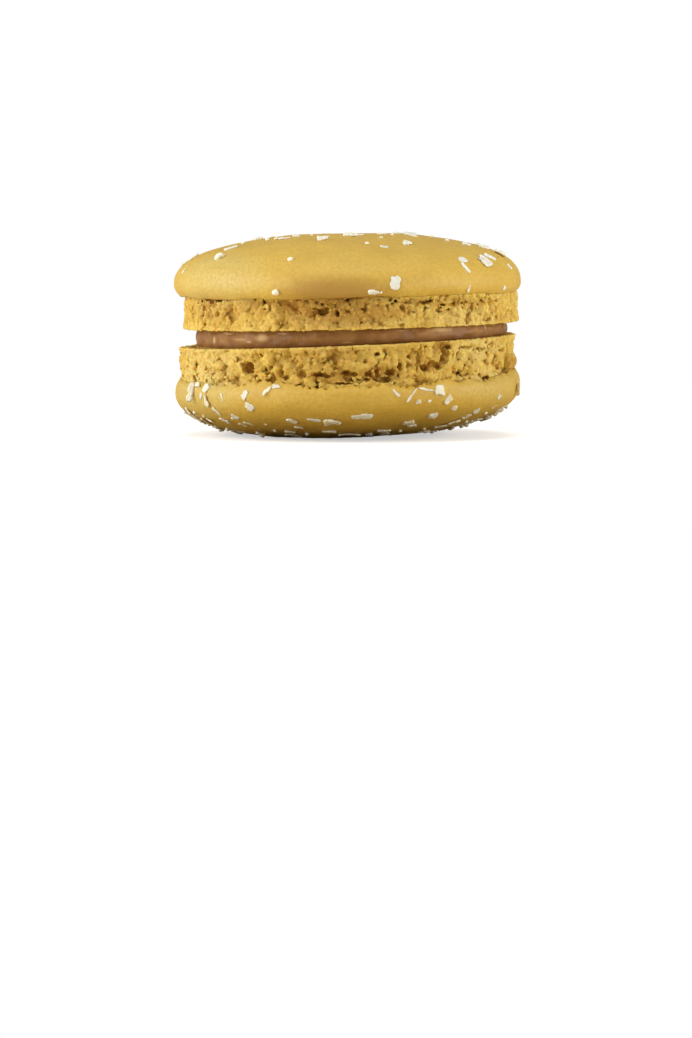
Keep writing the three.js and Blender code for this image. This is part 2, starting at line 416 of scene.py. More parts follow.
def foam(tree, strip_point, shell):
    """How far inside the foam a point is, in millimetres: less than 0 is air."""
    along, inwards, z = strip_point.parts()
    angle = along / FOOT_RADIUS
    out = -inwards + FOOT_RADIUS
    x = out * angle.math("SINE")
    point = combine(tree, x, -(out * angle.math("COSINE")), z)

    # Rise is 0 at the crease and 1 at the flat side.
    level = z * 0.0 + shell.crease
    for times, size, phase in shell.crease_waves:
        level = level + (angle * times + phase).math("SINE") * size
    for degrees, wide, height in shell.reaches:
        away = (angle - math.radians(degrees)).math("ABSOLUTE") * CREASE_RADIUS
        level = level + away.ramp(wide, 0.0, 0.0, height)
    base = x * shell.flat_slope + shell.flat
    rise = (z - level) / (base - level)

    start = Vector((shell.seed, 2 * shell.seed, 3 * shell.seed))
    drawn = point.vector("ADD", start)
    torn = drawn.stirred(0.6, 0.32, detail=2.0)
    calm = rise.ramp(1.0, 0.8, 0.4, 1.0) * rise.ramp(0.0, 0.25, 0.5, 1.0)

    # The outer face has slow waves, lumps with creases and pores between them, and grain.
    radius = (x / out) * shell.foot_shift + FOOT_RADIUS
    radius = radius - rise.ramp(0.3, 0.0) * shell.pinch + rise.ramp(0.8, 1.0) * FLARE
    radius = radius + drawn.vector("DIVIDE", (1, 1, 1.6)).cloud(2.6) * 0.7
    pores = []
    for size, swell, pore_depth in LUMPS:
        far, _, _ = torn.cells(size)
        share = far / size
        radius = radius + (-(share * share) + 0.18) * calm * swell
        pores.append(((-share + 0.8) * 0.6 * size, pore_depth))
    grain = drawn.cloud(0.34, detail=2.0)
    radius = radius + grain * 0.4 - covered(torn, STAINS_AND_PAINTED_SHADE, start) * STAIN_AND_SHADE_DENT
    depth = radius - out

    # The flat side has a frayed edge, and the other side stands in the groove behind the skin.
    fray = drawn.cloud(0.6) * depth.ramp(1.2, 0.2, 0.0, 0.5)
    solid = depth.least((z - base) * shell.side + fray)
    below = (level - z) * shell.side
    solid = solid.least(below + GROOVE_DEPTH)
    solid = solid.least(below.most(-out + EDGE_RADIUS - SKIN_THICKNESS))
    solid = solid.least(out - (FOOT_RADIUS - RING_DEPTH))
    floor = drawn.cloud(0.8, detail=2.0) * 1.2 + depth

    near_crease = rise.ramp(0.55, 0.05)
    for size, share, crease_share, smallest, largest, reach in BUBBLES:
        distance, chance, other = torn.cells(size)
        wanted = near_crease * crease_share + share
        bubble = (other * (largest - smallest) + smallest) * (wanted - chance).ramp(0.0, 0.01)
        solid = solid.least((distance - bubble).most(floor - reach))

    for pore, pore_depth in pores:
        solid = solid.least(pore.most(depth - pore_depth))

    cave = torn.vector("DIVIDE", (1.6, 1.6, 1)).cloud(1.1)
    limit = rise.ramp(0.5, 0.0, 0.36, shell.cave_limit)
    solid = solid.least(((limit - cave) * 2.0).most(floor - 1.7))

    shredded = torn.stirred(0.3, 0.14)
    for column, row, wide, high, deep in shell.pits:
        centre = on_wall(column, row, FOOT_RADIUS)
        inside = shredded.vector("SUBTRACT", centre + start).turned_back(angle_of(centre))
        unit = inside.vector("DIVIDE", (PIT_SPREAD * wide, PIT_SPREAD * deep, PIT_SPREAD * high)).length()
        solid = solid.least((unit - 1.0) * min(wide, high) + grain * 0.2)
    for column, row, size in shell.knobs:
        centre = on_wall(column, row, FOOT_RADIUS) + start
        solid = solid.most(-torn.vector("SUBTRACT", centre).length() + size)
    return solid


def foam_tree(shell):
    """Nodes that make the surface of the foam on its straight strip."""
    tree = bpy.data.node_groups.new(shell.node + "_foam", "GeometryNodeTree")
    tree.interface.new_socket(name="Geometry", in_out="INPUT", socket_type="NodeSocketGeometry")
    tree.interface.new_socket(name="Geometry", in_out="OUTPUT", socket_type="NodeSocketGeometry")
    strip_point = Field(tree, tree.nodes.new("GeometryNodeInputPosition").outputs[0])
    half = math.pi * FOOT_RADIUS + OVERLAP_STEPS * STEP
    lowest = min(shell.flat, shell.crease) - 1.8
    highest = max(shell.flat, shell.crease) + 1.8
    block = tree.nodes.new("GeometryNodeVolumeCube")
    plug(tree, block.inputs["Density"], foam(tree, strip_point, shell))
    block.inputs["Background"].default_value = -1.0
    block.inputs["Min"].default_value = (-half, -PROUD, lowest)
    block.inputs["Max"].default_value = (half, RING_DEPTH + 2 * CELL, highest)
    block.inputs["Resolution X"].default_value = STEPS_ROUND + 2 * OVERLAP_STEPS + 1
    block.inputs["Resolution Y"].default_value = round((PROUD + RING_DEPTH + 2 * CELL) / CELL)
    block.inputs["Resolution Z"].default_value = round((highest - lowest) / CELL)
    surface = tree.nodes.new("GeometryNodeVolumeToMesh")
    surface.inputs["Threshold"].default_value = 0.0
    tree.links.new(block.outputs["Volume"], surface.inputs["Volume"])

    # Closed bubbles inside the foam and crumbs off it are taken away.
    island = tree.nodes.new("GeometryNodeInputMeshIsland")
    count = tree.nodes.new("GeometryNodeAccumulateField")
    count.inputs["Value"].default_value = 1.0
    tree.links.new(island.outputs["Island Index"], count.inputs["Group ID"])
    drop = tree.nodes.new("GeometryNodeDeleteGeometry")
    tree.links.new(surface.outputs["Mesh"], drop.inputs["Geometry"])
    plug(tree, drop.inputs["Selection"], Field(tree, count.outputs["Total"]).math("LESS_THAN", LOOSE_POINTS))
    output = tree.nodes.new("NodeGroupOutput")
    tree.links.new(drop.outputs["Geometry"], output.inputs[0])
    return tree


def as_made(obj):
    """The mesh that an object's modifiers make."""
    depsgraph = bpy.context.evaluated_depsgraph_get()
    return bpy.data.meshes.new_from_object(obj.evaluated_get(depsgraph))


def keep_joined(shape, start):
    """Takes away everything that isn't joined to the vertex start."""
    reached = {start}
    ends = [start]
    while ends:
        vert = ends.pop()
        for edge in vert.link_edges:
            other = edge.other_vert(vert)
            if other not in reached:
                reached.add(other)
                ends.append(other)
    loose = [vert for vert in shape.verts if vert not in reached]
    bmesh.ops.delete(shape, geom=loose, context="VERTS")


def foot(name, shell):
    """A foot's ring: the strip is cut to one round, bent, joined to itself and thinned."""
    host = link(bpy.data.objects.new(name + "_host", bpy.data.meshes.new(name + "_host")))
    host.modifiers.new("foam", "NODES").node_group = foam_tree(shell)
    shape = bmesh.new()
    shape.from_mesh(as_made(host))
    half = math.pi * FOOT_RADIUS
    for end in (-1, 1):
        bmesh.ops.bisect_plane(
            shape, geom=shape.verts[:] + shape.edges[:] + shape.faces[:], dist=1e-6,
            plane_co=(end * half, 0, 0), plane_no=(end, 0, 0), clear_outer=True,
        )
    seam = [vert for vert in shape.verts if abs(abs(vert.co.x) - half) < 1e-3]
    front = min(shape.verts, key=lambda vert: abs(vert.co.x))
    for vert in shape.verts:
        bent = round_point(vert.co.x / FOOT_RADIUS, FOOT_RADIUS - vert.co.y)
        vert.co.x = bent.x
        vert.co.y = bent.y
    bmesh.ops.remove_doubles(shape, verts=seam, dist=5e-3)
    keep_joined(shape, front)
    bmesh.ops.triangulate(shape, faces=shape.faces)
    thin = host.modifiers.new("thin", "DECIMATE")
    thin.ratio = min(1.0, MOST_TRIANGLES / len(shape.faces))
    shape.to_mesh(host.data)
    shape.free()
    host.modifiers.remove(host.modifiers["foam"])
    mesh = as_made(host)
    bpy.data.objects.remove(host)
    mesh.transform(Matrix.Scale(MM, 4))
    mesh.name = name
    mesh.shade_smooth()
    return link(bpy.data.objects.new(name, mesh))


# Caps

SPIN_STEPS = 720
TUCK_ROWS = 12
DOME_ROWS = 44


def cap_outline(shell):
    """A shell without its foot, from the middle of its flat side to its crown: down the core, out
    along the groove, over the skin's edge, and along the tuck and the dome."""
    level = shell.crease
    side = shell.side
    groove = level + side * GROOVE_DEPTH
    outline = [(0.0, shell.flat), (CORE_RADIUS / 2, shell.flat), (CORE_RADIUS, shell.flat)]
    outline += [(CORE_RADIUS, groove), (EDGE_RADIUS - 2 * SKIN_THICKNESS, groove)]
    outline += [(EDGE_RADIUS - SKIN_THICKNESS, level), (EDGE_RADIUS, level)]
    power = 2 / CAP_SQUARENESS
    for i in range(1, TUCK_ROWS + 1):
        bend = CREASE_BEND + i / TUCK_ROWS * (math.pi / 2 - CREASE_BEND)
        start = math.sin(CREASE_BEND) ** power
        spread = (math.sin(bend) ** power - start) / (1 - start)
        up = CAP_TUCK * (1 - (max(math.cos(bend), 0.0) / math.cos(CREASE_BEND)) ** power)
        outline.append((EDGE_RADIUS + (CAP_RADIUS - EDGE_RADIUS) * spread, level + side * up))
    for i in range(1, DOME_ROWS):
        bend = i / DOME_ROWS * math.pi / 2
        up = CAP_TUCK + CAP_RISE * math.sin(bend) ** power
        outline.append((CAP_RADIUS * math.cos(bend) ** power, level + side * up))
    outline.append((0.0, level + side * (CAP_TUCK + CAP_RISE)))
    return outline


def turned(outline, steps):
    """A closed body turned from an outline of radius and height."""
    shape = bmesh.new()
    verts = [shape.verts.new((out, 0.0, height)) for out, height in outline]
    edges = [shape.edges.new(pair) for pair in zip(verts, verts[1:])]
    bmesh.ops.spin(
        shape, geom=verts + edges, axis=(0, 0, 1), cent=(0, 0, 0), dvec=(0, 0, 0), angle=2 * math.pi,
        steps=steps, space=Matrix(), use_merge=True, use_normal_flip=False, use_duplicate=False,
    )
    bmesh.ops.remove_doubles(shape, verts=shape.verts, dist=1e-4)
    bmesh.ops.recalc_face_normals(shape, faces=shape.faces)
    return shape


def finished(name, shape):
    """A piece from a shape in millimetres."""
    bmesh.ops.scale(shape, vec=(MM, MM, MM), verts=shape.verts)
    mesh = bpy.data.meshes.new(name)
    shape.to_mesh(mesh)
    shape.free()
    mesh.shade_smooth()
    return link(bpy.data.objects.new(name, mesh))


def uneven(point, seed):
    """How far the baked skin stands proud of an even dome, in millimetres."""
    place = point + Vector((seed, 0, 0))
    slow = noise.noise(place / 9.0) * 0.28
    middle = noise.noise(place / 3.5) * 0.09
    fine = noise.noise(place / 0.9) * 0.014
    return slow + middle + fine


def tear(angle, seed):
    """How far the torn edge of the skin stands up or down, at most about 0.5."""
    place = round_point(angle, CREASE_RADIUS) + Vector((0, 0, seed))
    return noise.noise(place / 1.1) * 0.25 + noise.noise(place / 0.42) * 0.5


def cap_shape(shell):
    """A cap with its core, in millimetres: leaning, uneven, and torn along the skin's edge."""
    shape = turned(cap_outline(shell), SPIN_STEPS)
    for vert in shape.verts:
        if abs(vert.co.z - shell.flat) < 1e-3:
            vert.co.z += shell.flat_slope * vert.co.x
            continue
        angle = angle_of(vert.co)
        out = math.hypot(vert.co.x, vert.co.y)
        up = (vert.co.z - shell.crease) * shell.side
        share = min(max(up / CAP_TUCK, 0.0), 1.0)
        if out < EDGE_RADIUS - 0.01 and share < 1.0:
            share = 0.0
        if share < 1.0 and out > EDGE_RADIUS - 1.5 * SKIN_THICKNESS:
            edge = 1 - smooth_step(share, 0.0, 0.25)
            vert.co.z -= shell.side * shell.ragged * tear(angle, shell.seed) * edge
        proud = vert.normal * uneven(vert.co, shell.seed) * smooth_step(share, 0.0, 1.0)
        vert.co.z += share * shell.lean * vert.co.x + (1 - share) * crease_rise(angle, shell)
        stretch = 1 + waves(angle, CAP_WAVES) / CAP_RADIUS
        vert.co.x *= stretch
        vert.co.y *= stretch
        vert.co += proud
        vert.co.z = max(vert.co.z, 0.0)
    return shape


# Filling

FILLING_ROWS = 24
FILLING_REACH = 0.06
FILLING_SWELL = 0.4


def filling_piece(name):
    """The ganache: a disc whose swollen edge is smeared into fine upright wrinkles."""
    outline = [(0.0, 0.0), (FILLING_RADIUS - 1.0, 0.0)]
    for i in range(FILLING_ROWS + 1):
        share = i / FILLING_ROWS
        swell = FILLING_SWELL * max(math.sin(math.pi * share), 0.0) ** 0.5
        outline.append((FILLING_RADIUS - FILLING_SWELL + swell, share))
    outline += [(FILLING_RADIUS - 1.0, 1.0), (0.0, 1.0)]
    shape = turned(outline, SPIN_STEPS)
    for vert in shape.verts:
        share = vert.co.z
        angle = angle_of(vert.co)
        out = math.hypot(vert.co.x, vert.co.y)
        if out > FILLING_RADIUS - 0.9:
            place = round_point(angle, FILLING_RADIUS)
            slow = noise.noise(place / 5.0 + Vector((0, 0, 7))) * 0.3
            smear = noise.noise(place / 0.5 + Vector((0, 0, share * 1.6))) * 0.08
            dimple = noise.noise(place / 1.2 + Vector((0, 0, share * 2.5 + 3))) * 0.16
            out += slow + smear * smooth_step(share, 0.2, 0.8) + dimple + FILLING_SHIFT * math.sin(angle)
        bent = round_point(angle, out)
        floor = FILLING_FLOOR - FILLING_REACH + FLOOR_SLOPE * bent.x
        roof = FILLING_ROOF + FILLING_REACH + ROOF_SLOPE * bent.x
        vert.co = Vector((bent.x, bent.y, floor + (roof - floor) * share))
    return finished(name, shape)


# Flakes and crumbs on the caps

# Those that show in the front: column and row in the photograph, then length and width in
# millimetres, the slant of the long side from level in degrees, and how far it stands up.
UPPER_PLATES = (
    (374, 292, 1.45, 0.60, 0, 0), (395, 283, 1.75, 0.95, 84, 0), (484.5, 262, 1.8, 1.50, 50, 4),
    (489.5, 257.5, 1.7, 0.70, 5, 4), (322, 240, 1.3, 1.1, 15, 15), (407, 244, 1.2, 1.2, 30, 15),
    (410, 235, 2.0, 1.1, -3, 12), (257, 239, 1.6, 0.9, 12, 10), (466, 245, 1.2, 0.7, -15, 20),
    (483, 247, 1.9, 0.7, -18, 14), (501, 252, 1.4, 0.7, -38, 12), (384, 247, 1.1, 0.8, 0, 0),
)
UPPER_SPLINTERS = (
    (462.5, 260, 1.1, 0.75, -70, 5), (465.5, 268, 1.9, 0.34, -66, 0), (469, 288, 1.1, 0.34, 80, 0),
    (189, 261, 3.1, 0.55, 40, 15), (509.5, 267, 0.9, 0.4, -65, 0), (504, 288, 0.7, 0.38, 65, 0),
    (348, 235.5, 1.2, 0.5, 5, 25), (296, 236.5, 1.0, 0.4, 8, 20), (184, 271, 0.8, 0.3, 55, 0),
)
UPPER_CRUMBS = (
    (220, 258, 1.25), (290.5, 260, 0.85), (276, 292, 1.05), (381, 292.3, 0.4), (367, 244, 0.6),
    (381, 238, 0.5), (345, 236, 0.6), (356, 235, 0.5), (327, 237, 0.4), (392, 235, 0.5),
    (431, 237, 0.5), (447, 241, 0.6), (272, 236.5, 0.5), (312, 235.5, 0.4),
)
LOWER_PLATES = (
    (245, 395, 1.35, 0.85, 45, 0), (250, 407.5, 1.4, 1.25, 10, 0), (206.5, 389, 1.15, 0.95, 60, 0),
    (225, 420, 1.6, 0.95, -75, 5), (190, 411, 1.2, 0.8, -40, 15), (211, 419.5, 1.2, 0.8, -22, 15),
    (292, 420, 1.5, 1.25, -35, 8), (332, 421.5, 2.4, 1.4, 14, 5), (362, 416.5, 2.9, 0.75, 3, 0),
    (349, 433, 3.0, 0.9, -3, 10), (329, 431, 1.8, 1.0, 5, 5), (290, 431, 1.4, 0.9, -8, 5),
    (384, 429.5, 1.9, 1.1, -5, 8), (408, 422, 1.5, 1.2, 10, 5), (412, 425, 1.2, 0.8, -20, 5),
    (439.5, 390, 1.35, 1.05, 10, 5), (432, 415.5, 1.15, 0.95, -20, 0), (467, 416, 1.55, 0.85, 48, 0),
    (454, 421, 1.65, 1.05, 8, 8), (476, 411, 1.0, 0.75, -10, 0), (440, 425.5, 1.9, 0.8, 4, 8),
    (516, 388, 1.9, 0.75, 76, 45), (488, 418.5, 1.9, 0.8, 8, 25), (384, 433, 1.6, 0.8, 2, 10),
    (193, 392.5, 2.6, 0.8, 86, 55),
)
LOWER_SPLINTERS = (
    (199, 386, 1.5, 0.6, -45, 20), (207, 401, 1.6, 0.6, -74, 15),
    (222, 397, 1.2, 0.45, -68, 0), (268, 390.5, 1.9, 0.5, 42, 0), (276.5, 387, 1.2, 0.7, -22, 0),
    (217, 411, 1.5, 0.5, -42, 0), (235, 416.5, 1.2, 0.5, -22, 0), (243, 424.5, 1.2, 0.4, -60, 5),
    (248.5, 423, 1.5, 0.4, -16, 5), (313.5, 420, 1.9, 0.36, -14, 0), (396, 393, 1.3, 0.24, -45, 0),
    (412, 395, 2.4, 0.32, 50, 0), (427, 389.8, 2.3, 0.36, -2, 0), (448, 400, 1.3, 0.6, 45, 0),
    (454, 408, 0.95, 0.5, -40, 0), (499, 397, 0.85, 0.4, 45, 0), (494, 407, 0.9, 0.22, 48, 0),
    (418, 402, 0.8, 0.3, 20, 0), (201, 396, 0.8, 0.35, 60, 0), (299, 427, 1.2, 0.4, -40, 5),
)
LOWER_CRUMBS = (
    (258, 432, 0.7), (485, 413, 0.5), (429, 401, 0.5), (233, 418, 0.5), (187, 408.5, 0.5),
    (195, 412, 0.55), (204, 416, 0.55), (266, 424, 0.4), (275, 430, 0.6), (307, 433, 0.6),
    (400, 430, 0.6), (424, 428, 0.55), (466, 421, 0.5), (499, 410, 0.4), (370, 433, 0.6),
)

FLAKE_GAP = 1.1
SKYLINE = 0.12
WIDENED = 1.2


class Flakes:
    """All the flakes of one kind, gathered into one shape."""

    def __init__(self, name, seed):
        self.name = name
        self.shape = bmesh.new()
        self.tone = self.shape.verts.layers.float.new("tone")
        self.draw = random.Random(seed)

    def add(self, body, seat, tone):
        """Puts a new body on its seat and gives it a tone from 0, creamy, to 1, white."""
        bmesh.ops.transform(self.shape, matrix=seat, verts=body)
        sunk = min(vert.co.z for vert in body)
        for vert in body:
            vert.co.z += max(0.03 - sunk, 0.0)
            vert[self.tone] = tone

    def flake(self, long, wide, pointed, roundness):
        """A thin bent flake at the origin with its long side along X."""
        made = bmesh.ops.create_grid(self.shape, x_segments=10, y_segments=5, size=1.0)
        base = made["verts"]
        start = Vector((self.draw.uniform(0, 99), self.draw.uniform(0, 99), 0))
        for vert in base:
            u = vert.co.x
            v = vert.co.y
            x = u * math.sqrt(1 - roundness * v * v / 2)
            y = v * math.sqrt(1 - roundness * u * u / 2) * (1 - pointed * (u + 1) / 2)
            rough = noise.noise_vector(Vector((u * long, v * wide, 0)) * 1.0 + start)
            vert.co.x = x * long / 2 + rough.x * 0.26 * wide
            vert.co.y = y * wide / 2 + rough.y * 0.26 * wide
        faces = list(dict.fromkeys(face for vert in base for face in vert.link_faces))
        grown = bmesh.ops.extrude_face_region(self.shape, geom=faces)
        top = [item for item in grown["geom"] if isinstance(item, bmesh.types.BMVert)]
        thick = self.draw.uniform(0.12, 0.24) * min(1.0, 0.4 + wide)
        for vert in top:
            vert.co.z += thick * (1 + 0.5 * noise.noise(vert.co * 1.6 + start))
            vert.co.x *= 0.93
            vert.co.y *= 0.88
        curl = self.draw.uniform(-0.12, 0.22)
        twist = self.draw.uniform(-0.3, 0.3)
        bow = self.draw.uniform(-0.12, 0.12)
        for vert in base + top:
            along = vert.co.x
            vert.co.z += curl * along * along / long + twist * along * vert.co.y / long
            vert.co.y += bow * along * along / long
        return base + top

    def crumb(self, size):
        """A small rounded crumb at the origin."""
        made = bmesh.ops.create_icosphere(self.shape, subdivisions=2, radius=size / 2)
        start = Vector((self.draw.uniform(0, 99), 0, 0))
        stretch = Vector((self.draw.uniform(0.85, 1.2), self.draw.uniform(0.75, 1.0), self.draw.uniform(0.6, 0.85)))
        for vert in made["verts"]:
            vert.co *= 1 + 0.45 * noise.noise(vert.co / size * 2.2 + start)
            vert.co = vert.co * stretch
            vert.co.z += size * 0.22
        return made["verts"]

    def piece(self):
        bmesh.ops.recalc_face_normals(self.shape, faces=self.shape.faces)
        return finished(self.name, self.shape)


def seen(ground, column, row):
    """The place of a cap that a pixel shows, or the nearest one towards the macaron's middle."""
    spot = Vector((column, row))
    inwards = (Vector((AXIS_COLUMN, MIDDLE_ROW)) - spot).normalized()
    while True:
        place, normal, _, _ = ground.ray_cast(*sight_line(spot.x, spot.y))
        if place is not None:
            return place, normal
        spot += inwards * 0.5


def seat_on(place, normal, heading, stand, wide):
    """Lays a flake along heading on the skin, or stands it on one long edge by stand degrees."""
    along = heading - normal * heading.dot(normal)
    along.normalize()
    across = normal.cross(along)
    tilt = math.radians(stand)
    raised = across * math.cos(tilt) + normal * math.sin(tilt)
    place = place + normal * (wide / 2 * math.sin(tilt) - 0.04)
    turn = Matrix((along, raised, along.cross(raised))).transposed()
    return Matrix.Translation(place) @ turn.to_4x4()


def slanted(slant):
    """The way in the picture that rises by slant degrees from level."""
    _, turn = camera_pose()
    angle = math.radians(slant)
    return turn @ Vector((math.cos(angle), math.sin(angle), 0))


def places_out_of_sight(ground, side, count, lowest, draw):
    """Scattered places of a cap that the camera doesn't see well, none too near another."""
    eye, _ = camera_pose()
    chosen = []
    while len(chosen) < count:
        spot = round_point(draw.uniform(0, 2 * math.pi), CAP_RADIUS * math.sqrt(draw.random()))
        spot.z = LOWER_CREASE + side * 60
        place, normal, _, _ = ground.ray_cast(spot, Vector((0, 0, -side)))
        if place is None or place.z < lowest:
            continue
        if normal.dot((eye - place).normalized()) > SKYLINE:
            continue
        if all((place - other).length > FLAKE_GAP for other, _ in chosen):
            chosen.append((place, normal))
    return chosen


def flake_pieces(upper_ground, lower_ground):
    plates = Flakes("plate_flakes", 5)
    splinters = Flakes("splinter_flakes", 6)
    crumbs = Flakes("crumbs", 7)

    shown = (
        (upper_ground, (0.75, 1.0), UPPER_PLATES, UPPER_SPLINTERS, UPPER_CRUMBS),
        (lower_ground, (0.45, 1.0), LOWER_PLATES, LOWER_SPLINTERS, LOWER_CRUMBS),
    )
    for ground, tones, plate_rows, splinter_rows, crumb_rows in shown:
        for kind, rows, pointed, roundness in ((plates, plate_rows, 0.3, 0.5), (splinters, splinter_rows, 0.7, 0.6)):
            for column, row, long, wide, slant, stand in rows:
                place, normal = seen(ground, column, row)
                wide *= WIDENED
                body = kind.flake(long, wide, pointed * kind.draw.choice((-1, 1)), roundness)
                kind.add(body, seat_on(place, normal, slanted(slant), stand, wide), kind.draw.uniform(*tones))
        for column, row, size in crumb_rows:
            place, normal = seen(ground, column, row)
            seat = seat_on(place, normal, slanted(crumbs.draw.uniform(0, 60)), 0, size)
            crumbs.add(crumbs.crumb(size), seat, crumbs.draw.uniform(*tones))

    draw = random.Random(21)
    for ground, side, count, lowest, tones in (
        (upper_ground, 1, 28, 0.0, (0.75, 1.0)), (lower_ground, -1, 110, 0.35, (0.45, 1.0)),
    ):
        for place, normal in places_out_of_sight(ground, side, count, lowest, draw):
            heading = Vector((draw.gauss(0, 1), draw.gauss(0, 1), draw.gauss(0, 1)))
            stand = abs(draw.gauss(0, 8))
            chance = draw.random()
            tone = draw.uniform(*tones)
            if chance < 0.35:
                wide = draw.uniform(0.7, 1.3)
                body = plates.flake(draw.uniform(1.0, 2.2), wide, draw.uniform(-0.3, 0.3), draw.uniform(0.2, 0.9))
                plates.add(body, seat_on(place, normal, heading, stand, wide), tone)
            elif chance < 0.7:
                wide = draw.uniform(0.28, 0.6)
                body = splinters.flake(draw.uniform(1.1, 2.8), wide, draw.uniform(-0.7, 0.7), 0.5)
                splinters.add(body, seat_on(place, normal, heading, stand, wide), tone)
            else:
                size = draw.uniform(0.4, 1.0)
                crumbs.add(crumbs.crumb(size), seat_on(place, normal, heading, 0, size), tone)
    return [kind.piece() for kind in (plates, splinters, crumbs)]


# Shader node groups, for what several finishes share

class Group:
    """A shader node group with named inputs and outputs."""

    def __init__(self, name, inputs, outputs):
        self.tree = bpy.data.node_groups.new(name, "ShaderNodeTree")
        for label in inputs:
            kind = "NodeSocketVector" if label == "Point" else "NodeSocketFloat"
            self.tree.interface.new_socket(name=label, in_out="INPUT", socket_type=kind)
        for label in outputs:
            self.tree.interface.new_socket(name=label, in_out="OUTPUT", socket_type="NodeSocketFloat")
        self.source = self.tree.nodes.new("NodeGroupInput")
        self.target = self.tree.nodes.new("NodeGroupOutput")

    def taken(self, label):
        return Field(self.tree, self.source.outputs[label])

    def give(self, label, value):
        plug(self.tree, self.target.inputs[label], value)

    def used_in(self, tree, values):
        """Places the group in a material and returns its outputs by name."""
        node = tree.nodes.new("ShaderNodeGroup")
        node.node_tree = self.tree
        for label, value in values.items():
            plug(tree, node.inputs[label], value)
        return {socket.name: Field(tree, socket) for socket in node.outputs}


def baked_mottle():
    """Uneven browning in soft patches and fine grain, and the relief that goes with it."""
    group = Group("baked_mottle", ("Point", "Patch Size", "Grain Size"), ("Patches", "Grain", "Relief"))
    point = group.taken("Point")
    patches = point.vector("DIVIDE", group.taken("Patch Size")).cloud(1.0, detail=3.0)
    grain = point.vector("DIVIDE", group.taken("Grain Size")).cloud(1.0, detail=3.0)
    group.give("Patches", patches.ramp(-0.22, 0.22))
    group.give("Grain", grain.ramp(-0.25, 0.25))
    group.give("Relief", grain + patches * 0.3)
    return group


def pin_holes():
    """Tiny round holes where air came out: 1 inside a hole, 0 outside."""
    group = Group("pin_holes", ("Point", "Spacing", "Width", "Share"), ("Hole",))
    spacing = group.taken("Spacing")
    distance, chance, other = group.taken("Point").vector("DIVIDE", spacing).cells(1.0)
    width = group.taken("Width") / spacing * (other + 0.5)
    inside = (width * 0.5 - distance).ramp(-0.08, 0.08)
    group.give("Hole", inside * (group.taken("Share") - chance).ramp(0.0, 0.01))
    return group


def stain_shade_and_light_patches():
    """How far a point is covered by stains and painted shade, and how far by painted light, from the listed patches.
    """
    group = Group("stain_shade_and_light_patches", ("Point",), ("Stain And Shade", "Painted Light"))
    point = group.taken("Point").stirred(1.2, 0.5, detail=3.0)
    group.give("Stain And Shade", covered(point, STAINS_AND_PAINTED_SHADE, Vector((0, 0, 0))))
    group.give("Painted Light", covered(point, PAINTED_LIGHT_PATCHES, Vector((0, 0, 0))))
    return group


# Materials

def material(name):
    made = bpy.data.materials.new(name)
    made.use_nodes = True
    tree = made.node_tree
    point = Field(tree, tree.nodes.new("ShaderNodeTexCoord").outputs["Object"]).times(1 / MM)
    return made, tree, tree.nodes["Principled BSDF"], point


def socket_called(sockets, identifier):
    return next(socket for socket in sockets if socket.identifier == identifier)


def mix_colour(tree, share, low, high):
    node = tree.nodes.new("ShaderNodeMix")
    node.data_type = "RGBA"
    plug(tree, socket_called(node.inputs, "Factor_Float"), share)
    plug(tree, socket_called(node.inputs, "A_Color"), low)
    plug(tree, socket_called(node.inputs, "B_Color"), high)
    return Field(tree, socket_called(node.outputs, "Result_Color"))


def bump(tree, shader, height, distance, strength=1.0):
    node = tree.nodes.new("ShaderNodeBump")
    node.inputs["Strength"].default_value = strength
    node.inputs["Distance"].default_value = distance * MM
    plug(tree, node.inputs["Height"], height)
    tree.links.new(node.outputs["Normal"], shader.inputs["Normal"])


def soften(shader, weight, radius, scale):
    """Lets light through the surface, by scale millimetres."""
    shader.inputs["Subsurface Weight"].default_value = weight
    shader.inputs["Subsurface Radius"].default_value = radius
    shader.inputs["Subsurface Scale"].default_value = scale * MM


def skin_material(mottle, holes, patches):
    made, tree, shader, point = material("baked_skin")
    tone = mottle.used_in(tree, {"Point": point, "Patch Size": 4.5, "Grain Size": 0.42})
    pores = holes.used_in(tree, {"Point": point, "Spacing": 1.1, "Width": 0.14, "Share": 0.3})
    patch = patches.used_in(tree, {"Point": point})
    colour = mix_colour(tree, tone["Patches"], (0.63, 0.395, 0.046, 1), (0.69, 0.445, 0.060, 1))
    # Painted light: a whiter painted sheen on the left of both caps.
    colour = mix_colour(tree, patch["Painted Light"], colour, (0.635, 0.475, 0.125, 1))
    colour = mix_colour(tree, tone["Grain"] * 0.7, colour, (0.53, 0.32, 0.035, 1))
    colour = mix_colour(tree, pores["Hole"] * 0.5, colour, (0.40, 0.24, 0.04, 1))
    # Brown stains, and painted shade under the upper cap's rim.
    colour = mix_colour(tree, patch["Stain And Shade"], colour, (0.40, 0.205, 0.03, 1))
    plug(tree, shader.inputs["Base Color"], colour)
    plug(tree, shader.inputs["Roughness"], tone["Patches"] * 0.08 + 0.54)
    soften(shader, 0.15, (1.0, 0.55, 0.12), 0.8)
    shader.inputs["Specular IOR Level"].default_value = 0.6
    bump(tree, shader, tone["Relief"] - pores["Hole"] * 0.4, 0.08, 0.8)
    return made


